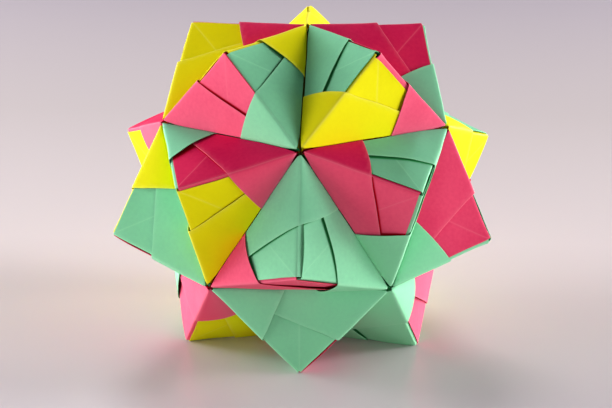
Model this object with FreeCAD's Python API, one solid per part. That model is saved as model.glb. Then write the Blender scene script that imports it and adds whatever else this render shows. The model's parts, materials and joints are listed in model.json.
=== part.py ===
"""Thirty-sheet modular origami ball, in millimetres.

Thirty square sheets are folded into like units, which slot into each other with no glue.
One unit lies across each edge of a regular icosahedron, so that a three-sided pyramid with
right-angled corners stands on each of its twenty triangles.  The ball stands on its five
lowest tips.  +Z is up, and the origin is on the floor, below the centre of the ball.

Each unit is a strip of layered paper with one valley fold and, on either side of it, a
right-angled face with a pocket and a tab.  The tab folds over the ridge on the right of its
face, seen from outside, and slides into the pocket of the unit on the next face.  The door
of the pocket ends at a slanting folded edge, which runs on over the ridge and the tab.
"""
import FreeCAD, Part
import math
import os

# The sheet, and the fold that sets the width of the doors
SHEET_SIDE = 90.0           # side of each square sheet
DOOR_ANGLE = 22.5           # degrees, from the strip's long edge to the door's folded edge

# Thickness of the flattened layers of paper
BASE_LAYER = 0.40           # back of the strip, with the corners tucked behind it
TAB_LAYER = 0.20            # where that back goes on into the tab
DOOR_LAYER = 0.20           # the door, folded double along its edge

# Play that folding and slotting by hand leave
SLIP_GAP = 0.05             # between layers that slide over each other
RIDGE_SETBACK = 0.25        # from a tab's free edge back to the ridge that it ends at
VALLEY_GAP = 0.20           # between the edges that face each other along a valley
VERTEX_HOLE = 0.80          # from the axis of a vertex to the blunt corners around it
TAB_END_GAP = 0.90          # from those corners back to the end of a tab in its pocket
FOOT_CLEARANCE = 0.25       # from the floor up to the dimpled vertex at the bottom

# Heights of the layers over the outside of a unit's own base
TAB_TOP = SLIP_GAP + TAB_LAYER
RAISED_TOP = TAB_TOP + DOOR_LAYER
DOOR_UNDERSIDE = RAISED_TOP + SLIP_GAP
DOOR_TOP = DOOR_UNDERSIDE + DOOR_LAYER

# The icosahedron that the valley folds follow
RING = 5                    # vertices on each ring between the top and the bottom vertex
RING_LATITUDE = math.atan(0.5)
VALLEY_LENGTH = SHEET_SIDE / 2
VERTEX_RADIUS = VALLEY_LENGTH * math.sin(2 * math.pi / RING)
TIP_HEIGHT = VALLEY_LENGTH / math.sqrt(6)       # of a right-angled corner over its triangle

# Where the door's folded edge crosses the ridge and the valley, as shares of their length
RIDGE_SHARE = math.tan(math.radians(45 - DOOR_ANGLE))       # from the tip
VALLEY_SHARE = math.tan(math.radians(DOOR_ANGLE))           # from the door's own corner


def ring_vertex(step, latitude):
    """Vertex on a ring, where step 0 faces the front (-Y) and the steps go towards +X."""
    azimuth = 2 * math.pi * step / RING - math.pi / 2
    across = VERTEX_RADIUS * math.cos(latitude)
    height = VERTEX_RADIUS * math.sin(latitude)
    return FreeCAD.Vector(across * math.cos(azimuth), across * math.sin(azimuth), height)


def place_vertices():
    """The icosahedron's vertices by name, around the centre of the ball."""
    vertices = {
        "top": FreeCAD.Vector(0, 0, VERTEX_RADIUS),
        "bottom": FreeCAD.Vector(0, 0, -VERTEX_RADIUS),
    }
    for step in range(RING):
        vertices[f"upper{step}"] = ring_vertex(step, RING_LATITUDE)
        vertices[f"lower{step}"] = ring_vertex(step + 0.5, -RING_LATITUDE)
    return vertices


def list_triangles():
    """The corners of each triangle, counterclockwise as seen from outside."""
    triangles = []
    for step in range(RING):
        after = (step + 1) % RING
        triangles.append(("top", f"upper{step}", f"upper{after}"))
        triangles.append((f"upper{step}", f"lower{step}", f"upper{after}"))
        triangles.append((f"lower{step}", f"lower{after}", f"upper{after}"))
        triangles.append(("bottom", f"lower{after}", f"lower{step}"))
    return triangles


def list_units():
    """Each unit's name, and the two vertices that its valley fold runs between."""
    units = {}
    for step in range(RING):
        after = (step + 1) % RING
        number = step + 1
        units[f"crown_unit_{number}"] = ("top", f"upper{step}")
        units[f"upper_ring_unit_{number}"] = (f"upper{step}", f"upper{after}")
        units[f"waist_unit_{2 * step + 1}"] = (f"upper{step}", f"lower{step}")
        units[f"waist_unit_{2 * step + 2}"] = (f"lower{step}", f"upper{after}")
        units[f"lower_ring_unit_{number}"] = (f"lower{step}", f"lower{after}")
        units[f"foot_unit_{number}"] = ("bottom", f"lower{step}")
    return units


# A plane is its unit normal, and its distance from the origin along that normal.

def plane_through(point, normal):
    unit_normal = FreeCAD.Vector(normal).normalize()
    return unit_normal, unit_normal.dot(point)


def shifted(plane, distance):
    """The plane moved along its own normal."""
    return plane[0], plane[1] + distance


def meeting_point(first, second, third):
    """The one point that three planes share."""
    weighted = second[0].cross(third[0]) * first[1]
    weighted += third[0].cross(first[0]) * second[1]
    weighted += first[0].cross(second[0]) * third[1]
    return weighted / first[0].dot(second[0].cross(third[0]))


def plate(underside, top, sides):
    """A closed plate between two planes, within side planes given in order around it."""
    low = [meeting_point(underside, sides[i - 1], sides[i]) for i in range(len(sides))]
    high = [meeting_point(top, sides[i - 1], sides[i]) for i in range(len(sides))]
    outlines = [low[::-1], high]
    for i in range(len(sides)):
        outlines.append([low[i - 1], low[i], high[i], high[i - 1]])
    faces = [Part.Face(Part.makePolygon(outline + outline[:1])) for outline in outlines]
    return Part.makeSolid(Part.makeShell(faces))


class Face:
    """One right-angled triangle of a pyramid: its tip, and its left and right base corners."""

    def __init__(self, tip, left, right):
        self.tip = tip
        self.left = left
        self.right = right
        self.normal = (left - tip).cross(right - tip).normalize()

    def level(self, height):
        """The plane parallel to the face, at a height over its outside."""
        return shifted(plane_through(self.tip, self.normal), height)

    def at(self, left_share, right_share):
        """The point reached from the tip by shares of the left and of the right ridge."""
        along_left = (self.left - self.tip) * left_share
        along_right = (self.right - self.tip) * right_share
        return self.tip + along_left + along_right

    def upright(self, point, direction, inside):
        """The plane square to the face, through a point along a direction, with the inside
        behind it."""
        normal = direction.cross(self.normal)
        if normal.dot(inside - point) > 0:
            normal = -normal
        return plane_through(point, normal)


class Pyramid:
    """Three faces around a tip, where face i runs from base corner i to the next one."""

    def __init__(self, names, regular_vertices, vertices):
        corner_sum = sum((regular_vertices[name] for name in names), FreeCAD.Vector())
        centre = corner_sum / len(names)
        self.names = names
        self.tip = centre + FreeCAD.Vector(centre).normalize() * TIP_HEIGHT
        self.corners = [vertices[name] for name in names]
        self.faces = [Face(self.tip, self.corners[i - 1], self.corners[i]) for i in (1, 2, 0)]

    def faces_from(self, i):
        """Face i, the face over its right ridge, and the face over its left ridge."""
        return self.faces[i], self.faces[(i + 1) % 3], self.faces[(i + 2) % 3]

    def blunt_corner(self, i, distance):
        """The plane that ends the paper near base corner i, at a distance from its axis."""
        corner = self.corners[i % 3]
        axis = FreeCAD.Vector(corner).normalize()
        ridge = self.tip - corner
        towards_corner = axis * ridge.dot(axis) - ridge
        return shifted(plane_through(corner, towards_corner), -distance)


def valley_plane(face, face_across, setback):
    """The plane halfway between the two faces of a valley, set back into the first face."""
    halfway = plane_through(face.left, face.normal - face_across.normal)
    return shifted(halfway, -setback)


def folded_edge_start(face, next_face):
    """Where the door's folded edge crosses the outside of its ridge."""
    square_to_ridge = plane_through(face.at(0, RIDGE_SHARE), face.right - face.tip)
    return meeting_point(face.level(DOOR_TOP), next_face.level(RAISED_TOP), square_to_ridge)


def door_edge(face, next_face):
    """The folded edge of the door, from the ridge down to the valley."""
    direction = face.at(VALLEY_SHARE, 1 - VALLEY_SHARE) - face.at(0, RIDGE_SHARE)
    return face.upright(folded_edge_start(face, next_face), direction, face.right)


def raised_edge(face, host):
    """The same folded edge on the tab, from the ridge to the far point of the tab."""
    direction = host.right - host.at(RIDGE_SHARE, 0)
    return host.upright(folded_edge_start(face, host), direction, host.left)


def base_plate(pyramid, i, face_across):
    """The back of the strip on one face, which goes on past the ridge to meet its tab."""
    face, after, before = pyramid.faces_from(i)
    sides = [
        after.level(TAB_TOP),
        pyramid.blunt_corner(i + 1, VERTEX_HOLE),
        valley_plane(face, face_across, 0),
        pyramid.blunt_corner(i, VERTEX_HOLE),
        before.level(-BASE_LAYER - SLIP_GAP),
    ]
    return plate(face.level(-BASE_LAYER), face.level(0), sides)


def door_plate(pyramid, i, face_across):
    """The door over the pocket, between the ridge, the valley and its folded edge."""
    face, after, _ = pyramid.faces_from(i)
    sides = [
        after.level(RAISED_TOP),
        pyramid.blunt_corner(i + 1, VERTEX_HOLE),
        valley_plane(face, face_across, VALLEY_GAP / 2),
        door_edge(face, after),
    ]
    return plate(face.level(DOOR_UNDERSIDE), face.level(DOOR_TOP), sides)


def door_hem(pyramid, i, face_across):
    """The fold that closes the pocket along the valley, from the door down to the base."""
    face, after, _ = pyramid.faces_from(i)
    sides = [
        pyramid.blunt_corner(i + 1, VERTEX_HOLE),
        valley_plane(face, face_across, VALLEY_GAP / 2),
        door_edge(face, after),
        valley_plane(face, face_across, VALLEY_GAP / 2 + DOOR_LAYER),
    ]
    return plate(face.level(0), face.level(DOOR_TOP), sides)


def tab_plates(pyramid, i, face_across_host):
    """The tab on the next face, and the rest of the door raised on top of it."""
    face, host, beyond = pyramid.faces_from(i)
    outline = [
        pyramid.blunt_corner(i + 1, VERTEX_HOLE),
        valley_plane(host, face_across_host, VALLEY_GAP / 2),
        shifted(door_edge(host, beyond), SLIP_GAP),
        valley_plane(host, face_across_host, VALLEY_GAP / 2 + DOOR_LAYER + SLIP_GAP),
        pyramid.blunt_corner(i + 2, VERTEX_HOLE + TAB_END_GAP),
    ]
    tab_sides = [face.level(0)] + outline + [beyond.level(-RIDGE_SETBACK)]
    raised_sides = [face.level(DOOR_TOP)] + outline + [raised_edge(face, host)]
    return [
        plate(host.level(SLIP_GAP), host.level(TAB_TOP), tab_sides),
        plate(host.level(TAB_TOP), host.level(RAISED_TOP), raised_sides),
    ]


def fold_unit(faces_on_edges, valley):
    """One folded sheet: the same parts on either side of its valley, as one solid."""

    def face_on(start, end):
        pyramid, i = faces_on_edges[start, end]
        return pyramid.faces[i]

    plates = []
    for start, end in (valley, valley[::-1]):
        pyramid, i = faces_on_edges[start, end]
        third = pyramid.names[(i + 2) % 3]
        face_across = face_on(end, start)
        plates.append(base_plate(pyramid, i, face_across))
        plates.append(door_plate(pyramid, i, face_across))
        plates.append(door_hem(pyramid, i, face_across))
        plates.extend(tab_plates(pyramid, i, face_on(third, end)))
    return plates[0].multiFuse(plates[1:]).removeSplitter().Solids[0]


def press_bottom_up(regular_vertices):
    """The vertices with the bottom one pushed up by the ball's weight, clear of the floor,
    so that the tips around it carry the ball."""
    foot = Pyramid(("bottom", "lower1", "lower0"), regular_vertices, regular_vertices)
    layers_below = DOOR_TOP / abs(foot.faces[0].normal.z)
    vertices = dict(regular_vertices)
    vertices["bottom"] = FreeCAD.Vector(0, 0, foot.tip.z + layers_below + FOOT_CLEARANCE)
    return vertices


def main():
    regular_vertices = place_vertices()
    vertices = press_bottom_up(regular_vertices)
    faces_on_edges = {}
    for names in list_triangles():
        pyramid = Pyramid(names, regular_vertices, vertices)
        for i in range(3):
            faces_on_edges[names[i], names[(i + 1) % 3]] = (pyramid, i)

    units = {name: fold_unit(faces_on_edges, valley) for name, valley in list_units().items()}
    floor_height = min(corner.Z for unit in units.values() for corner in unit.Vertexes)
    os.makedirs("parts", exist_ok=True)
    for name, unit in units.items():
        unit.translate(FreeCAD.Vector(0, 0, -floor_height))
        unit.exportStep(f"parts/{name}.step")


main()
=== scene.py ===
import json
import math
import random

import bmesh
import bpy
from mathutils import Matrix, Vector, noise


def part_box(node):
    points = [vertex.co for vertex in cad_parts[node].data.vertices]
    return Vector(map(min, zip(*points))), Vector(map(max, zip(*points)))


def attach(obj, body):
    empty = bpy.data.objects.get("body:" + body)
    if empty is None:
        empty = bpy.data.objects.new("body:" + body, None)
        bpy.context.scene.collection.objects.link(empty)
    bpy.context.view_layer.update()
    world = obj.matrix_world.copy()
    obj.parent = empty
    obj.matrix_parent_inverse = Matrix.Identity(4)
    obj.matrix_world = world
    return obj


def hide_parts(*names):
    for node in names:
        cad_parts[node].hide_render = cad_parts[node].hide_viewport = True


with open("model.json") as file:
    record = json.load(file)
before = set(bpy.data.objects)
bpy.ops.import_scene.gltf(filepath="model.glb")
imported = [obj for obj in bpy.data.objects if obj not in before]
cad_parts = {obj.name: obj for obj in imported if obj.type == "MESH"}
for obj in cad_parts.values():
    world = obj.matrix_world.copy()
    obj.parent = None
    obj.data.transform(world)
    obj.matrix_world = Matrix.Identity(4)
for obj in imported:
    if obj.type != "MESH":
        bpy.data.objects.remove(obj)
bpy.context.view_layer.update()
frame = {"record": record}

# ---- Foot units ------------------------------------------------------------------------
# Five folded squares of dyed note paper round the bottom of the ball.  Each has one valley
# crease, and on either side of it a face with a pocket, and a tab that goes over the ridge
# and into the pocket of the next unit, with no glue.  The lowest tips stand on the floor.
MM = 0.001                  # everything below is in millimetres until a mesh is made
QUARTER = 22.5              # a quarter of the side of a sheet
RIDGE = 2 * QUARTER / math.sqrt(2)
VERTEX_RADIUS = 2 * QUARTER * math.sin(math.radians(72))
TIP_HEIGHT = 2 * QUARTER / math.sqrt(6)
DIMPLE = 1.9                # how far the weight of the ball presses its lowest vertex up
SETTLED = 0.5               # how far the soft tips let the ball down
waist_boxes = [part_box(f"waist_unit_{number}") for number in range(1, 11)]
waist_low = min(low[2] for low, high in waist_boxes)
waist_high = max(high[2] for low, high in waist_boxes)
BALL_CENTRE = Vector((0, 0, (waist_low + waist_high) / 2 / MM - SETTLED))


def ring_corner(step, latitude):
    """A vertex on a ring, where step 0 faces the front and the steps go to the right."""
    azimuth = math.radians(72 * step - 90)
    across = VERTEX_RADIUS * math.cos(latitude)
    height = VERTEX_RADIUS * math.sin(latitude)
    return Vector((across * math.cos(azimuth), across * math.sin(azimuth), height))


corners = {"top": Vector((0, 0, VERTEX_RADIUS)), "bottom": Vector((0, 0, -VERTEX_RADIUS))}
triangles = []
for step in range(5):
    after = (step + 1) % 5
    corners[f"upper{step}"] = ring_corner(step, math.atan(0.5))
    corners[f"lower{step}"] = ring_corner(step + 0.5, -math.atan(0.5))
    triangles.append(("top", f"upper{step}", f"upper{after}"))
    triangles.append((f"upper{step}", f"lower{step}", f"upper{after}"))
    triangles.append((f"lower{step}", f"lower{after}", f"upper{after}"))
    triangles.append(("bottom", f"lower{after}", f"lower{step}"))

# Folding by hand leaves some corners and tips a little out of true: how many millimetres
# to the right and how many up, to the nearest half
OUT_OF_TRUE = {
    "top": (0.5, -0.5),
    "upper4": (0.5, 0),
    "lower4": (-0.5, 0.5),
    "lower0": (0, 1),
    "top-upper4-upper0": (-0.5, -0.5),
    "top-upper3-upper4": (-0.5, -0.5),
    "top-upper1-upper2": (0.5, 0),
    "upper1-lower1-upper2": (0.5, 0),
    "lower3-lower4-upper4": (-0.5, 0),
    "lower4-lower0-upper0": (0, 0.5),
    "bottom-lower4-lower3": (-0.5, 0),
}


def out_of_true(name):
    right, up = OUT_OF_TRUE.get(name, (0, 0))
    return Vector((right, 0, up))


# Where play opens a small hole at a vertex or a tip: how far its edges stand back
HOLES = {
    "upper0": 0.15,
    "lower4": 0.2,
    "lower0": 0.12,
    "top-upper0-upper1": 0.35,
    "lower0-lower1-upper1": 0.3,
    "top-upper1-upper2": 0.3,
    "top-upper4-upper0": 0.3,
}
holes = {}

tips = {}
for names in triangles:
    middle = sum((corners[name] for name in names), Vector()) / 3
    tip = middle + middle.normalized() * TIP_HEIGHT
    tip += out_of_true("-".join(names))
    for i in range(3):
        side = (names[i], names[(i + 1) % 3])
        tips[side] = (tip, names[(i + 2) % 3])
        holes[side] = [(tip, HOLES.get("-".join(names), 0))]
corners["bottom"].z += DIMPLE
for name in corners:
    corners[name] += out_of_true(name)
for side in holes:
    for name in (*side, tips[side][1]):
        holes[side].append((corners[name], HOLES.get(name, 0)))

# How many millimetres a face swells over its middle, and how far it stands out or in along
# a soft kink from the tip down to the valley.  A face that isn't listed takes its own from
# the two ranges.
SWELL_RANGE = (-0.1, 0.45)
KINK_RANGE = (-0.25, 0.3)
SWELLING = {
    ("upper0", "lower4"): (0.9, 0.2),
    ("lower0", "upper0"): (0.9, 0.15),
    ("upper4", "lower4"): (-0.4, -0.1),
    ("lower0", "upper1"): (-0.1, 0.0),
}
# A crease beside the left ridge: how far from it, as a share, and how many millimetres high
CREASES = {
    ("upper1", "upper0"): (0.19, 0.6),
}
CREASE_FALL = 0.35          # the share over which it falls away on its far side


def swelling(face, left_share, right_share):
    """How far the paper on a face stands out at a place given by shares of its ridges."""
    habits = random.Random("-".join(face))
    swell = habits.uniform(*SWELL_RANGE)
    kink = habits.uniform(*KINK_RANGE)
    swell, kink = SWELLING.get(face, (swell, kink))
    from_tip = left_share + right_share
    if left_share <= 0 or right_share <= 0 or from_tip >= 1:
        return 0
    # The slope is 0 along both ridges and 1 midway between them.  The dome is 1 in the middle
    # of the face and 0 all round it.
    slope = 1 - abs(2 * right_share / from_tip - 1)
    dome = 27 * left_share * right_share * (1 - from_tip)
    stands_out = swell * dome + kink * slope * 4 * from_tip * (1 - from_tip)
    if face in CREASES:
        beside, height = CREASES[face]
        past_crease = max(1 - (right_share - beside) / CREASE_FALL, 0)
        fall = min(right_share / beside, past_crease)
        stands_out += height * fall * 4 * left_share * (1 - left_share)
    return stands_out


# The flat pattern of half a unit is drawn in quarters of the sheet.  The tip is at (1, 1),
# the ridge runs from there to (0, 2), and the valley along y = 2 to (2, 2).  The far half
# is the same pattern turned about the middle of the valley, (1, 2).
DOOR_SLANT = math.tan(math.radians(22.5))
EDGE_SETBACK = 0.020        # from a tab's free edge to the ridge, as a share of the ridge
VALLEY_SETBACK = 0.008      # from the long edge of a tab to the valley
BLUNT = 0.027               # how far the corners stop short of a vertex, as a share
VALLEY_DEPTH = 1.3          # how far the crease of a valley is sunk between its layers
TAB_END = 0.11              # how far a tab's end stops short of it
GRID = 1.3                  # spacing of the mesh over the flat pattern
GRID_LINES = 24             # enough of them to cross the whole pattern
FOLD_STEPS = (0, 0.12, 0.3, 0.6, 1.1)           # closer lines on both sides of a fold,
EDGE_STEPS = (0.07, 0.25)                       # inside an edge,
TUCK_STEPS = (-0.05, 0.1, 0.25, 0.45, 0.8)      # and where paper goes in under paper
SAME_LINE = 0.0004          # quarters of the sheet that count as no distance from a line
SAME_PLACE = 0.0005         # and between two points


def cut_sheet(outline, edges, folds, tucks=()):
    """A flat piece, cut into a grid that follows its ridges and closes up at its edges and
    folds and where it goes in under another, each of which is a line x * a + y * b = c."""
    sheet = bmesh.new()
    sheet.faces.new([sheet.verts.new((x, y, 0)) for x, y in outline])
    lines = []
    spacing = GRID / RIDGE * 2
    for i in range(-GRID_LINES, GRID_LINES + 1):
        lines.append((1, 1, 2 + i * spacing))
        lines.append((1, 1, 4 + i * spacing))
    for i in range(1, GRID_LINES + 1):
        lines.append((-1, 1, i * spacing))
    for a, b, c in folds:
        length = math.hypot(a, b) / QUARTER
        for step in FOLD_STEPS:
            lines.append((a, b, c + step * length))
            lines.append((a, b, c - step * length))
    for given, steps in ((edges, EDGE_STEPS), (tucks, TUCK_STEPS)):
        for a, b, c in given:
            length = math.hypot(a, b) / QUARTER
            for step in steps:
                lines.append((a, b, c + step * length))
    for a, b, c in lines:
        spread = a * a + b * b
        bmesh.ops.bisect_plane(
            sheet, geom=sheet.verts[:] + sheet.edges[:] + sheet.faces[:], dist=SAME_LINE,
            plane_co=(a * c / spread, b * c / spread, 0), plane_no=(a, b, 0))
    bmesh.ops.remove_doubles(sheet, verts=sheet.verts[:], dist=SAME_PLACE)
    sheet.verts.index_update()
    sheet.normal_update()
    flipped = any(face.normal.z < 0 for face in sheet.faces)
    places = [(vertex.co.x, vertex.co.y) for vertex in sheet.verts]
    panels = [[vertex.index for vertex in face.verts] for face in sheet.faces]
    if flipped:
        panels = [panel[::-1] for panel in panels]
    rim = []
    for face in sheet.faces:
        for loop in face.loops:
            if loop.edge.is_boundary:
                rim.append((loop.vert.index, loop.link_loop_next.vert.index))
    sheet.free()
    return places, panels, rim


def meet(first, second):
    """The point that two lines x * a + y * b = c share."""
    a, b, c = first
    d, e, f = second
    spread = a * e - b * d
    return (c * e - b * f) / spread, (a * f - c * d) / spread


def outline_of(lines):
    """The corners of the piece that lies inside lines, given in their order round it."""
    return [meet(line, lines[(i + 1) % len(lines)]) for i, line in enumerate(lines)]


def turned(line):
    """The same line on the far half of the unit."""
    a, b, c = line
    return -a, -b, c - 2 * a - 4 * b


# Each line's a and b point into the paper
tab_end = (1, 1, TAB_END)
free_edge = (-1, 1, 2 * EDGE_SETBACK)
left_blunt = (-1, -1, 2 * BLUNT - 4)
right_blunt = (1, -1, 2 * BLUNT - 2)
long_edge = (1, 0, VALLEY_SETBACK)
near_side = [long_edge, tab_end, free_edge, left_blunt]
far_side = [turned(line) for line in near_side]
back_outline = outline_of([*near_side, turned(right_blunt), *far_side, right_blunt])
under_own_door = (1, -DOOR_SLANT, 0)
under_next_door = (DOOR_SLANT, 1, 2 * DOOR_SLANT)
BACK = cut_sheet(
    back_outline, [long_edge, free_edge, turned(long_edge), turned(free_edge)],
    [(1, 1, 2), (1, 1, 4), (0, 1, 2), (0, 1, 1), (0, 1, 3)],
    [under_own_door, under_next_door, turned(under_own_door), turned(under_next_door)])

DOOR_SHORT = 0.03           # how much sooner a door ends than the tab under it
door_end = (1, 1, TAB_END + DOOR_SHORT)
door_edge = (-1, DOOR_SLANT, 0)
door_valley = (0, -1, VALLEY_SETBACK - 2)
DOOR = cut_sheet(
    outline_of([long_edge, door_end, door_edge, door_valley, right_blunt]),
    [long_edge, door_edge, door_valley], [(1, 1, 2)])


class Corner:
    """The right-angled corner that half a unit is folded round: its own face between the
    left and the right ridge, and the next face beyond the right ridge."""

    def __init__(self, start, end):
        tip, third = tips[start, end]
        far_tip = tips[end, start][0]
        self.face = (start, end)
        self.next_face = (end, third)
        self.holes = [hole for hole in holes[start, end] if hole[1]]
        self.tip = tip
        self.to_left = (corners[start] - tip) / RIDGE
        self.along = (corners[end] - tip) / RIDGE
        self.to_third = (corners[third] - tip) / RIDGE
        self.normal = self.to_left.cross(self.along).normalized()
        far_normal = (corners[end] - far_tip).cross(corners[start] - far_tip).normalized()
        self.out_of_valley = (self.normal + far_normal).normalized()
        self.mitre = 1 / self.normal.dot(self.out_of_valley)


def rounded(distance, softness):
    """Distances out from a fold on its two sides, eased into each other."""
    reach = math.hypot(distance, softness)
    return (reach + distance) / 2, (reach - distance) / 2


def eased(value):
    """A share from 0 to 1 that starts and ends gently."""
    value = min(max(value, 0), 1)
    return value * value * (3 - 2 * value)


# All in millimetres
LEVEL_CHANGE = 3            # the layer goes from one level to the other this near a ridge
MITRE_REACH = 0.8           # the layer is mitred into its valley from this far out
CREASE_WIDTH = 0.5          # how wide the sunk crease of a valley is
VERTEX_REACH = 1.3          # a crease is sunk deeper this near a vertex,
VERTEX_SINK = 0.9           # by this share
HOLE_REACH = 2.4            # a hole spreads the paper this far round it
LONG_WAVE, LONG_SWAY = 19, 0.3      # how long and how high the paper's slow waves are,
SHORT_WAVE, SHORT_SWAY = 7, 0.1     # and its quick ones
# Left alone, the noise takes its seed from the clock, and the paper differs at every run
noise.seed_set(1)


def fold(corner, x, y, levels, softness, lift_own, lift_next, in_valley):
    """Where a place on the flat pattern goes, at a level over its own face and another
    over the next face."""
    own_level, next_level = levels
    away = (x + y - 2) / 2 * RIDGE
    along = (y - x) / 2 * RIDGE
    blend = min(max((away + LEVEL_CHANGE) / (2 * LEVEL_CHANGE), 0), 1)
    away_eased = away + next_level * blend - own_level * (1 - blend)
    out_left, out_third = rounded(away_eased, softness)
    if away > 0:
        swell = swelling(corner.face, away / RIDGE, along / RIDGE) + lift_own
        place = (out_left - next_level, out_third - own_level - swell)
    else:
        swell = swelling(corner.next_face, along / RIDGE, -away / RIDGE) + lift_next
        place = (out_left - next_level - swell, out_third - own_level)
    point = corner.tip + corner.along * along
    point += corner.to_left * place[0] + corner.to_third * place[1]
    if in_valley:
        depth = max((2 - y) * QUARTER, 0)
        nearness = max(1 - depth / MITRE_REACH, 0) ** 2
        to_vertex = min((point - corners[name]).length for name in corner.face)
        deeper = VERTEX_SINK * math.exp(-((to_vertex / VERTEX_REACH) ** 2))
        sunk = VALLEY_DEPTH * (1 + deeper)
        point -= corner.out_of_valley * sunk * math.exp(-((depth / CREASE_WIDTH) ** 2))
        point += (corner.out_of_valley * corner.mitre - corner.normal) * own_level * nearness
    for middle, size in corner.holes:
        axis = middle.normalized()
        outward = point - middle
        opening = size * math.exp(-((outward.length / HOLE_REACH) ** 2))
        outward -= axis * outward.dot(axis)
        point += outward * (opening / max(outward.length, 0.1))
    wobble = noise.noise_vector(point / LONG_WAVE) * LONG_SWAY
    wobble += noise.noise_vector(point / SHORT_WAVE) * SHORT_SWAY
    return (point + wobble + BALL_CENTRE) * MM


# How far the layers lie over a face, in millimetres: on the unit's own face, and on the next
BACK_UNDER = (-0.24, 0.04)
BACK_TOP = (0.0, 0.26)
DOOR_UNDER = (0.50, 0.28)
DOOR_TOP = (0.66, 0.46)
# How softly each of those turns over the ridge
BACK_UNDER_SOFT, BACK_TOP_SOFT, DOOR_UNDER_SOFT, DOOR_TOP_SOFT = 0.2, 0.4, 0.3, 0.45


class Play:
    """How loosely one half of a unit was folded, in millimetres: how far its door stands
    open, its raised edge and its tab's free edge on the next face, how far back the tab's
    edges are from the ridge and from the valley, and how wide the painted shade is along the
    raised edge and where the tab goes in under the next door."""

    def __init__(self, habits, **given):
        self.door = habits.uniform(0.5, 0.9)
        self.slit = habits.uniform(0.35, 0.7)
        self.tab = habits.uniform(0.15, 0.4)
        self.short = habits.uniform(-0.2, 0.2)
        self.shy = habits.uniform(0.2, 0.4)
        self.slant = habits.uniform(-0.02, 0.02)
        self.gape = habits.uniform(0.04, 0.16)
        self.wedge = habits.uniform(0.05, 0.2)
        for name, value in given.items():
            setattr(self, name, value)


def past(line, x, y):
    """How many millimetres a place on the flat pattern lies past a line."""
    a, b, c = line
    return (a * x + b * y - c) / math.hypot(a, b) * QUARTER


def mark_falloff(quarters, width):
    """How strong a mark is at a distance in quarters from an edge or a crease: wear on
    creases and free edges, and wear with painted highlight on ridges and door edges.
    """
    return math.exp(-quarters * QUARTER / width)


def gap_shade(distance, width):
    """How much painted shade a gap gets at a distance inside it."""
    return math.exp(-((max(distance, 0) / width) ** 2))


UNDER_MARK = (0, 0.5)       # the under side has neither wear nor painted highlight, and takes half the painted shade


def add_layer(mesh_parts, pattern, place_top, place_under, mark):
    """Both sides of one layer of paper and the rim that joins them."""
    places, panels, rim = pattern
    points, faces, marks = mesh_parts
    start = len(points)
    under = start + len(places)
    points.extend(place_top(x, y) for x, y in places)
    points.extend(place_under(x, y) for x, y in places)
    marks.extend(mark(x, y) for x, y in places)
    marks.extend([UNDER_MARK] * len(places))
    for panel in panels:
        faces.append([start + i for i in panel])
        faces.append([under + i for i in reversed(panel)])
    for i, j in rim:
        faces.append([start + j, start + i, under + i, under + j])


# All in millimetres
EDGE_REACH = 1.5            # an edge is set back together with the paper this near it
TAB_REACH = 6               # the tab lifts this far in from its free edge
HEM = 0.6                   # the door is pressed down to the back this near its valley
HEM_PRESS = 0.02            # and lies this much into it


def back_place(corner, play, levels, softness):
    """Places the back of the strip and its tab, which lifts along its free edge."""

    def place(x, y):
        away = (x + y - 2) / 2
        along = (y - x) / 2
        lift = 0
        if away < 0:
            from_edge = (along - EDGE_SETBACK) * RIDGE
            shift = play.short / RIDGE * math.exp(-from_edge / EDGE_REACH)
            x -= shift
            y += shift
            from_valley = (x - VALLEY_SETBACK) * QUARTER
            x += play.shy / QUARTER * math.exp(-from_valley / EDGE_REACH)
            opening = math.sin(math.pi * min(-away / 0.5, 1))
            lift = play.tab * opening * max(1 - along * RIDGE / TAB_REACH, 0) ** 2
        return fold(corner, x, y, levels, softness, 0, lift, True)

    return place


def door_place(corner, play, levels, softness):
    """Places the door, which opens like a fan about the vertex at the end of the ridge."""
    crossing = 2 / (1 + DOOR_SLANT)     # where the door's slanting edge crosses the ridge

    def place(x, y):
        share = (x + DOOR_SLANT * (2 - y)) / (2 * DOOR_SLANT)
        edge_y = 2 + (y - 2) / max(share, 1e-6)
        x *= 1 + play.slant
        lift_own = lift_next = 0
        if edge_y >= crossing:
            across = min((edge_y - crossing) / (2 - crossing), 1)
            lift_own = play.door * share * 4 * across * (1 - across)
        else:
            across = (crossing - edge_y) / crossing
            open_share = 4 * across * (1 - across) if across < 0.5 else 2 * (1 - across)
            lift_next = play.slit * share * max(open_share, 0)
            from_valley = (x - VALLEY_SETBACK) * QUARTER
            x += play.shy / QUARTER * math.exp(-from_valley / EDGE_REACH)
        hem = 1 - eased((2 - y) * QUARTER / HEM)
        lift_own -= hem * (DOOR_UNDER[0] + HEM_PRESS)
        return fold(corner, x, y, levels, softness, lift_own, lift_next, False)

    return place


# How strong the marks are at the most, from 0 to 1, and over how many millimetres: wear on
# # creases and free edges, and wear with painted highlight along ridges and door edges
RIDGE_WEAR_AND_HIGHLIGHT, RIDGE_MARK_WIDTH = 0.8, 0.35
CREASE_WORN, CREASE_WEAR = 0.5, 0.14
FREE_EDGE_WORN, FREE_EDGE_WEAR = 0.35, 0.2
DOOR_EDGE_WEAR_AND_HIGHLIGHT, DOOR_EDGE_MARK_WIDTH = 0.8, 0.25
VALLEY_SHADE = 0.65         # millimetres of painted shade in from a valley
VERTEX_SHADE = 1.5          # and round a vertex
POCKET_SHADE = 0.6          # how deep the painted shade is, from 0 to 1, where the tab goes into a pocket
slot_of = {part["node"]: part["material_slot"] for part in frame["record"]["subparts"]}


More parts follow.
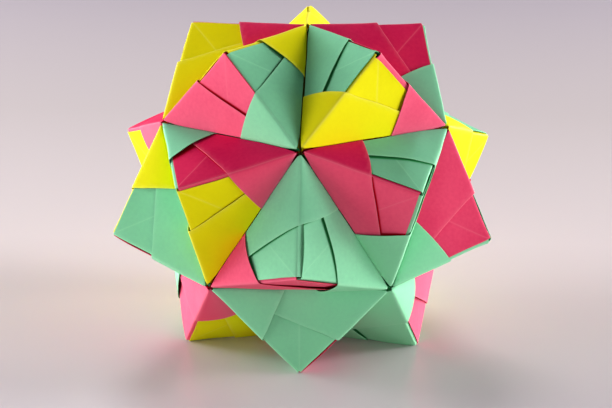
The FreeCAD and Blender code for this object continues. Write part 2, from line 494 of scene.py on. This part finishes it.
def fold_unit(name, start, end, near=None, far=None):
    """One folded sheet across the valley from start to end, in place of its plain solid."""
    habits = random.Random(name)
    points, faces, marks = mesh_parts = ([], [], [])
    halves = []
    for ends, given in (((start, end), near), ((end, start), far)):
        halves.append((Corner(*ends), Play(habits, **(given or {}))))

    def on_halves(levels, softness):
        near_place, far_place = (back_place(c, p, levels, softness) for c, p in halves)
        return lambda x, y: near_place(x, y) if y <= 2 else far_place(2 - x, 4 - y)

    def back_mark(x, y):
        play = halves[0][1]
        if y > 2:
            x, y = 2 - x, 4 - y
            play = halves[1][1]
        # Wear and painted highlight along the ridge, and wear along the crease and the tab's
        # free edge
        worn = mark_falloff(abs(x + y - 2), RIDGE_MARK_WIDTH) * RIDGE_WEAR_AND_HIGHLIGHT
        # Painted shade in the valley, in the gaps where the tab goes in under a door, and
        # round the vertices
        tucked = gap_shade((2 - y) * QUARTER, VALLEY_SHADE)
        if x + y < 2:
            worn += CREASE_WORN * mark_falloff(abs(y - 1), CREASE_WEAR)
            worn += FREE_EDGE_WORN * mark_falloff(y - x - 2 * EDGE_SETBACK, FREE_EDGE_WEAR)
            own = gap_shade(past(under_own_door, x, y), play.gape)
            following = gap_shade(past(under_next_door, x, y), play.wedge)
            tucked = max(tucked, POCKET_SHADE * own, POCKET_SHADE * following)
        else:
            to_vertex = min(math.hypot(x, y - 2), math.hypot(x - 2, y - 2)) * QUARTER
            tucked = max(tucked, gap_shade(to_vertex, VERTEX_SHADE))
        return worn, tucked

    def door_mark(x, y):
        # Wear and painted highlight along the ridge and along the door's slanting edge
        worn = mark_falloff(abs(x + y - 2), RIDGE_MARK_WIDTH) * RIDGE_WEAR_AND_HIGHLIGHT
        return worn + DOOR_EDGE_WEAR_AND_HIGHLIGHT * mark_falloff(y * DOOR_SLANT - x, DOOR_EDGE_MARK_WIDTH), 0

    add_layer(mesh_parts, BACK, on_halves(BACK_TOP, BACK_TOP_SOFT),
              on_halves(BACK_UNDER, BACK_UNDER_SOFT), back_mark)
    for corner, play in halves:
        add_layer(mesh_parts, DOOR, door_place(corner, play, DOOR_TOP, DOOR_TOP_SOFT),
                  door_place(corner, play, DOOR_UNDER, DOOR_UNDER_SOFT), door_mark)

    mesh = bpy.data.meshes.new(name + "_paper")
    mesh.from_pydata(points, [], faces)
    mesh.polygons.foreach_set("use_smooth", [True] * len(mesh.polygons))
    # The marks go to the material: wear with painted highlight, and painted shade
    for i, kind in enumerate(("worn", "tucked")):
        values = mesh.attributes.new(kind, "FLOAT", "POINT")
        values.data.foreach_set("value", [min(mark[i], 1) for mark in marks])
    mesh.validate()
    mesh.update()
    unit = bpy.data.objects.new(name + "_paper", mesh)
    bpy.context.scene.collection.objects.link(unit)
    slot = slot_of[name]
    mesh.materials.append(paper_of(slot))
    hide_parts(name)
    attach(unit, "root")


class Finish:
    """A material's nodes.  add() makes any of them from its settings and values."""

    def __init__(self, name):
        self.material = bpy.data.materials.new(name)
        self.material.use_nodes = True
        self.nodes = self.material.node_tree.nodes
        self.links = self.material.node_tree.links
        self.shader = self.nodes["Principled BSDF"]

    def set(self, node, values):
        for key, value in values.items():
            if isinstance(value, Tone):
                value = value.socket
            if isinstance(value, bpy.types.NodeSocket):
                self.links.new(value, node.inputs[key])
            else:
                node.inputs[key].default_value = value

    def add(self, kind, settings=None, values=None, output=0):
        node = self.nodes.new("ShaderNode" + kind)
        for key, value in (settings or {}).items():
            if key == "stops":
                self.set_stops(node.color_ramp.elements, value)
            else:
                setattr(node, key, value)
        self.set(node, values or {})
        return Tone(self, node.outputs[output])

    def set_stops(self, elements, stops):
        while len(elements) < len(stops):
            elements.new(1)
        for element, (position, colour) in zip(elements, stops):
            element.position = position
            element.color = (*colour, 1)

    def mix(self, share, first, second):
        return self.add("Mix", {"data_type": "RGBA"}, {0: share, 6: first, 7: second}, 2)


class Tone:
    """A value among a finish's nodes, on which sums and products add Math nodes."""

    def __init__(self, finish, socket):
        self.finish = finish
        self.socket = socket

    def join(self, operation, first, second):
        return self.finish.add("Math", {"operation": operation}, {0: first, 1: second})

    def __add__(self, other):
        return self.join("ADD", self, other)

    def __sub__(self, other):
        return self.join("SUBTRACT", self, other)

    def __rsub__(self, other):
        return self.join("SUBTRACT", other, self)

    def __mul__(self, other):
        return self.join("MULTIPLY", self, other)

    __radd__ = __add__
    __rmul__ = __mul__


papers = {}
DYE_WITH_PAINTED_LIGHT_AND_SHADE = {                    # on faces turned up with painted shade, on faces to the front as the paper's own dye, and on faces to the sides with painted light
    "pink_paper": ((0.65, 0.004, 0.08), (1.0, 0.06, 0.15), (1.0, 0.17, 0.28)),
    "green_paper": ((0.18, 0.50, 0.305), (0.25, 0.75, 0.395), (0.35, 0.87, 0.5)),
    "yellow_paper": ((0.81, 0.715, 0.002), (0.98, 0.89, 0.002), (1.0, 0.93, 0.008)),
}


CLOUDS_PER_METRE = 90
FLECKS_PER_METRE = 1100
FIBRES_PER_METRE = 5200
GRAIN = 0.3                 # how much clouds and flecks change the share of the dye with painted shade
WEAR_AND_HIGHLIGHT_PALE = 0.65            # how much of the pale crease colour shows over wear and painted highlights
RELIEF_HEIGHT = 0.00004     # metres


def paper_of(slot):
    """Dyed note paper: matte, with faint clouds, flecks and fibres.  Painted shade makes it
    deeper on faces turned up, and painted light makes it paler on faces turned to the sides.
    It is paler along worn creases and with painted highlights along ridges and door edges,
    and painted shade makes it darker in gaps, valleys and round vertices."""
    if slot in papers:
        return papers[slot]
    finish = Finish("note_" + slot)
    place = finish.add("TexCoord", output=3)
    clouds = finish.add(
        "TexNoise", {}, {"Vector": place, "Scale": CLOUDS_PER_METRE, "Detail": 2})
    flecks = finish.add(
        "TexNoise", {}, {"Vector": place, "Scale": FLECKS_PER_METRE, "Detail": 3})
    fibres = finish.add(
        "TexNoise", {}, {"Vector": place, "Scale": FIBRES_PER_METRE, "Detail": 2})
    normal = finish.add("NewGeometry", output=1)
    up = finish.add("SeparateXYZ", {}, {"Vector": normal}, 2)
    aside = finish.add("SeparateXYZ", {}, {"Vector": normal}, 0)
    aside = finish.add("Math", {"operation": "ABSOLUTE"}, {0: aside})
    # The paper's own dye is mixed with painted shade on faces turned up and with painted light
    #     on faces turned to the side.  Worn creases, the painted highlights of ridges and door
    #     edges, and the painted shade of gaps take tones of the plain one
    painted_shade_dye, plain, painted_light_dye = DYE_WITH_PAINTED_LIGHT_AND_SHADE[slot]
    creased_and_highlit = (*(min(c * 0.9 + 0.16, 1) for c in plain), 1)
    shade_tone = (*(c * c * 0.6 for c in plain), 1)
    deep_shade_tone = (*(c * c * 0.12 for c in plain), 1)
    # Painted light: paler on faces turned to the sides
    colour = finish.mix(aside * 1.2 - up * 0.5, (*plain, 1), (*painted_light_dye, 1))
    # Painted shade: deeper on faces turned up
    colour = finish.mix(up * 0.7 + 0.55 - (clouds + flecks) * GRAIN, colour, (*painted_shade_dye, 1))
    worn = finish.add("Attribute", {"attribute_name": "worn"}, output=2)
    # Paler over wear and painted highlights
    colour = finish.mix(worn * WEAR_AND_HIGHLIGHT_PALE, colour, creased_and_highlit)
    tucked = finish.add("Attribute", {"attribute_name": "tucked"}, output=2)
    # Painted shade: a dark saturated tone in gaps, near black deep in valleys
    colour = finish.mix(tucked * 2, colour, shade_tone)
    colour = finish.mix(tucked * 2 - 1, colour, deep_shade_tone)
    relief = flecks * 0.6 + fibres * 0.4
    bump = finish.add(
        "Bump", {}, {"Strength": 0.35, "Distance": RELIEF_HEIGHT, "Height": relief})
    finish.set(finish.shader, {
        "Base Color": colour, "Roughness": 0.52 + 0.16 * flecks, "Normal": bump,
        "Specular IOR Level": 0.04})
    papers[slot] = finish.material
    return finish.material


# What is known of how loosely a unit was folded.  The rest comes from its own habits.
foot_play = {1: {"near": {"slit": 0.3, "tab": 0.1, "gape": 0.06}}}
for step in range(5):
    fold_unit(f"foot_unit_{step + 1}", "bottom", f"lower{step}", **foot_play.get(step + 1, {}))

# ---- Lower ring units ------------------------------------------------------------------
# Five more sheets, folded in the same way, run round the lower ring of vertices.  Their
# tabs close the corners that the foot units begin.
lower_ring_play = {
    4: {"near": {"slit": 0.6, "gape": 0.02}},
    5: {"near": {"door": 0.8, "slit": 0.6, "tab": 0.6, "short": 0.5, "gape": 0.2}},
}
for step in range(5):
    play = lower_ring_play.get(step + 1, {})
    fold_unit(f"lower_ring_unit_{step + 1}", f"lower{step}", f"lower{(step + 1) % 5}", **play)

# ---- Waist units -----------------------------------------------------------------------
# Ten sheets zigzag between the lower and the upper ring of vertices, and hold the halves
# of the ball together.
waist_play = {
    1: {"near": {"door": 0.8, "slit": 0.5, "gape": 0.15, "wedge": 0.05},
        "far": {"door": 0.9, "slit": 0.4, "tab": 0.6, "gape": 0.2, "wedge": 0.25}},
    2: {"near": {"door": 0.25, "slit": 0.6, "shy": 0.45, "gape": 0.3}},
    9: {"near": {"door": 0.3, "slit": 0.3, "short": 0.0, "gape": 0.1}},
    10: {"near": {"slit": 0.3, "tab": 0.3, "gape": 0.06, "wedge": 0.7},
         "far": {"door": 0.75, "slit": 0.5, "gape": 0.15}},
}
for step in range(5):
    number = 2 * step + 1
    fold_unit(f"waist_unit_{number}", f"upper{step}", f"lower{step}",
              **waist_play.get(number, {}))
    fold_unit(f"waist_unit_{number + 1}", f"lower{step}", f"upper{(step + 1) % 5}",
              **waist_play.get(number + 1, {}))

# ---- Upper ring units ------------------------------------------------------------------
# Five sheets round the upper ring of vertices.
upper_ring_play = {
    1: {"near": {"door": 0.5, "slit": 0.5, "gape": 0.2},
        "far": {"door": 0.8, "slit": 0.4, "shy": 0.4, "gape": 0.25, "wedge": 0.3}},
    2: {"near": {"tab": 0.05, "short": 0.6}},
    5: {"near": {"door": 0.6, "slit": 0.5, "shy": 0.45, "gape": 0.25, "wedge": 0.15},
        "far": {"door": 0.7, "tab": 0.0, "short": 1.2}},
}
for step in range(5):
    play = upper_ring_play.get(step + 1, {})
    fold_unit(f"upper_ring_unit_{step + 1}", f"upper{step}", f"upper{(step + 1) % 5}", **play)

# ---- Crown units -----------------------------------------------------------------------
# The last five sheets meet at the top vertex and lock the ball.
crown_play = {
    1: {"near": {"slit": 0.35, "short": 0.8, "tab": 0.4, "gape": 0.08, "wedge": 0.05},
        "far": {"door": 0.65}},
    2: {"far": {"door": 0.8, "slit": 0.5, "shy": 0.5, "gape": 0.5}},
    5: {"near": {"slit": 0.5, "short": -0.5, "tab": 0.1, "gape": 0.3}},
}
for step in range(5):
    fold_unit(f"crown_unit_{step + 1}", "top", f"upper{step}", **crown_play.get(step + 1, {}))

# ---- Table -----------------------------------------------------------------------------
# A sheet of pale card with a faint sheen that the ball stands on.  It runs on far behind it,
# # and painted light and shade vary its colour: a little darker just behind the ball, a
# # brighter band a little further back, and darker towards the back.
TABLE_RADIUS = 4            # metres
bpy.ops.mesh.primitive_circle_add(vertices=96, radius=TABLE_RADIUS, fill_type="NGON")
table = bpy.context.object
table.name = "table"
card = Finish("table_card")
CARD_COLOUR = (0.62, 0.545, 0.56)
CARD_PAINTED_LIGHT = (      # metres behind the ball, how bright its painted light and shade make the card there, and how bluish it looks
    (-0.05, 1.0, 1.05),
    (0.03, 0.95, 1.0),
    (0.08, 1.05, 1.0),
    (0.24, 0.8, 1.0),
    (0.46, 0.6, 1.1),
)
FADE_START, FADE_LENGTH = -0.05, 0.51
stops = []
for behind, level, bluish in CARD_PAINTED_LIGHT:
    tone = Vector(CARD_COLOUR) * level
    tone.z *= bluish
    stops.append(((behind - FADE_START) / FADE_LENGTH, tone))
# Painted light and shade on the card, by how far behind the ball it lies
place = card.add("NewGeometry")
behind = card.add("SeparateXYZ", {}, {"Vector": place}, output=1)
painted_card_light = card.add("ValToRGB", {"stops": stops},
                 {"Fac": (behind - FADE_START) * (1 / FADE_LENGTH)})
card.set(card.shader, {"Base Color": painted_card_light, "Roughness": 0.35, "Specular IOR Level": 0.3})
table.data.materials.append(card.material)

# ---- Light -----------------------------------------------------------------------------
# Wide soft lamps stand on the table: two strong ones behind the ball, left and right, and
# weak ones at its sides and in front.  Three hang higher and throw its short shadows.
LAMP_DISTANCE = 0.9
LAMPS = (    # degrees to the right of the front, degrees up, metres wide and high, watts
    (-125, 6.6, 0.8, 0.29, 10),
    (130, 6.6, 0.8, 0.29, 11),
    (-70, 6.6, 0.4, 0.29, 3),
    (0, 6.6, 1.0, 0.29, 1.5),
    (70, 6.6, 0.4, 0.29, 2.5),
    (-100, 22, 0.4, 0.4, 4),
    (90, 25, 0.25, 0.25, 4),
    (-170, 45, 0.3, 0.3, 4),
)
for number, (azimuth, elevation, width, height, watts) in enumerate(LAMPS, 1):
    light = bpy.data.lights.new(f"lamp_{number}", "AREA")
    light.shape = "RECTANGLE"
    light.size = width
    light.size_y = height
    light.energy = watts
    lamp = bpy.data.objects.new(f"lamp_{number}", light)
    across = math.cos(math.radians(elevation))
    way = Vector((across * math.sin(math.radians(azimuth)),
                  -across * math.cos(math.radians(azimuth)),
                  math.sin(math.radians(elevation))))
    lamp.location = BALL_CENTRE * MM + way * LAMP_DISTANCE
    lamp.rotation_euler = way.to_track_quat("Z", "Y").to_euler()
    bpy.context.scene.collection.objects.link(lamp)

world = bpy.data.worlds.new("room")
bpy.context.scene.world = world
world.use_nodes = True
room = world.node_tree.nodes["Background"]
room.inputs["Color"].default_value = (0.95, 0.93, 0.94, 1)
room.inputs["Strength"].default_value = 0.01

# ---- Camera ----------------------------------------------------------------------------
# A long lens a little above the ball and a touch to its right.  It looks at a point just
# under the middle of the ball.
CAMERA_DISTANCE = 556       # millimetres
CAMERA_RIGHT = 1.7          # degrees
CAMERA_UP = 16.2            # degrees
CAMERA_ROLL = 0.5           # degrees
AIM_DROP = 5.7              # millimetres
AIM_RIGHT = 0.4             # millimetres
camera_data = bpy.data.cameras.new("camera")
camera_data.lens = 123.5        # millimetres
camera_data.sensor_width = 36   # millimetres
camera_data.clip_end = 20       # metres, past the far edge of the table
camera = bpy.data.objects.new("camera", camera_data)
bpy.context.scene.collection.objects.link(camera)
across = math.cos(math.radians(CAMERA_UP))
way = Vector((across * math.sin(math.radians(CAMERA_RIGHT)),
              -across * math.cos(math.radians(CAMERA_RIGHT)),
              math.sin(math.radians(CAMERA_UP))))
camera.location = (BALL_CENTRE + way * CAMERA_DISTANCE) * MM
aim = Vector((AIM_RIGHT, 0, -AIM_DROP)) - way * CAMERA_DISTANCE
camera.rotation_euler = aim.to_track_quat("-Z", "Y").to_euler()
camera.rotation_euler.rotate_axis("Z", math.radians(CAMERA_ROLL))
bpy.context.scene.camera = camera
bpy.context.scene.view_settings.view_transform = "Standard"
